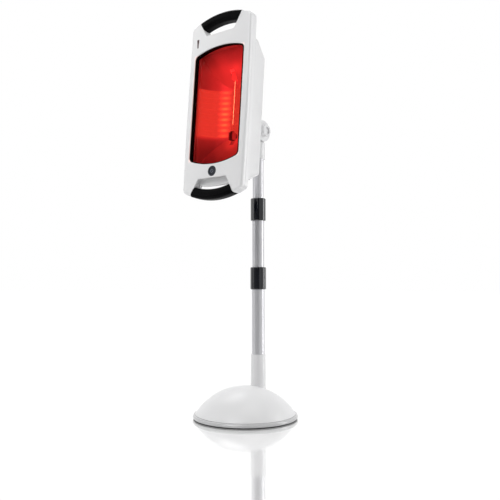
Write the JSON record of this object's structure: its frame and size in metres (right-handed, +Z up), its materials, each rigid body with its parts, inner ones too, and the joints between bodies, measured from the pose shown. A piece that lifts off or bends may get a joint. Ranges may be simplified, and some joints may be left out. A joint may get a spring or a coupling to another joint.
{
  "type": "infrared heat therapy lamp",
  "caption": "Free-standing infrared heat lamp: tall red-glass head with a grip at each end, on a telescopic pole that slides, turns and tilts over a weighted dome base.",
  "frame": {"origin": "centre of the round base's underside, on the floor", "axes": "+Z up along the pole, the lamp shines towards -Y, +X to the lamp's left as it faces you from behind; the pole stands 52.8 mm behind the origin"},
  "size_m": [0.2636, 0.2672, 1.0081],
  "materials": {
    "white_shell": "gloss white moulding",
    "black_collar": "gloss black moulding",
    "soft_grip": "soft black grip with a dull sheen",
    "foot_rubber": "black rubber sheet",
    "silicone": "black silicone",
    "lead_sleeve": "glass-fibre and silicone sleeving",
    "pole_tube": "satin anodised tube",
    "cast_weight": "rough casting",
    "sheet_steel": "zinc-plated sheet and screws",
    "grey_plastic": "moulded nylon",
    "red_glass": "red infrared filter glass",
    "frame_black": "heat-proof matt black",
    "bright_reflector": "bright rolled sheet",
    "quartz": "clear quartz",
    "tungsten": "tungsten coil",
    "ceramic": "steatite ceramic",
    "electrical": "black phenolic",
    "pilot_lens": "dark red lens"
  },
  "bodies": {
    "stand": {"foot_pad": "foot_rubber", "base_plate": "sheet_steel", "base_rim": "white_shell", "base_cover": "white_shell", "base_weight": "cast_weight", "base_screws": "sheet_steel", "pole_socket": "white_shell", "pole_bolt": "sheet_steel", "pole_washer": "sheet_steel", "tube_plug": "grey_plastic", "lower_tube": "pole_tube", "lower_ferrule": "grey_plastic", "lower_collet": "grey_plastic"},
    "lower_lock": {"lower_collar": "black_collar"},
    "middle_pole": {"middle_tube": "pole_tube", "middle_glide": "grey_plastic", "upper_ferrule": "grey_plastic", "upper_collet": "grey_plastic"},
    "upper_lock": {"upper_collar": "black_collar"},
    "upper_pole": {"upper_tube": "pole_tube", "upper_glide": "grey_plastic"},
    "neck": {"pole_top": "white_shell", "friction_washers": "grey_plastic"},
    "head": {"head_bracket": "white_shell", "hinge_hubs": "white_shell", "bracket_screws": "sheet_steel", "hinge_bolt": "sheet_steel", "hinge_nut": "sheet_steel", "hinge_caps": "white_shell", "front_shell": "white_shell", "rear_shell": "white_shell", "cord_gland": "silicone", "shell_screws": "sheet_steel", "upper_grip": "soft_grip", "lower_grip": "soft_grip", "filter_glass": "red_glass", "glass_gasket": "silicone", "lamp_frame": "frame_black", "frame_screws": "sheet_steel", "reflector": "bright_reflector", "lamp_tube": "quartz", "lamp_filament": "tungsten", "lamp_caps": "ceramic", "lamp_holders": "ceramic", "heat_shield": "bright_reflector", "thermal_cutout": "electrical", "terminal_block": "electrical", "lamp_leads": "lead_sleeve", "switch_leads": "lead_sleeve", "switch_body": "electrical", "indicator_lens": "pilot_lens"},
    "button": {"power_button": "black_collar"}
  },
  "joints": [
    {"name": "lower_collar_turn", "type": "hinge", "parent": "stand", "child": "lower_lock", "pos_m": [0, 0.0528, 0.35], "axis": [0, 0, 1], "range_deg": [0, 120]},
    {"name": "middle_tube_slide", "type": "slide", "parent": "stand", "child": "middle_pole", "axis": [0, 0, 1], "range_m": [-0.118, 0.085]},
    {"name": "upper_collar_turn", "type": "hinge", "parent": "middle_pole", "child": "upper_lock", "pos_m": [0, 0.0528, 0.53], "axis": [0, 0, 1], "range_deg": [0, 120]},
    {"name": "upper_tube_slide", "type": "slide", "parent": "middle_pole", "child": "upper_pole", "axis": [0, 0, 1], "range_m": [-0.102, 0.085]},
    {"name": "neck_swivel", "type": "hinge", "parent": "upper_pole", "child": "neck", "pos_m": [0, 0.0528, 0.68], "axis": [0, 0, 1], "range_deg": [-90, 90]},
    {"name": "head_tilt", "type": "hinge", "parent": "neck", "child": "head", "pos_m": [0, 0.0528, 0.7352], "axis": [-1, 0, 0], "range_deg": [-24, 55]},
    {"name": "power_button_push", "type": "slide", "parent": "head", "child": "button", "axis": [0, 0.9967, -0.0816], "range_m": [0, 0.0025], "stiffness_N_per_m": 500}
  ]
}
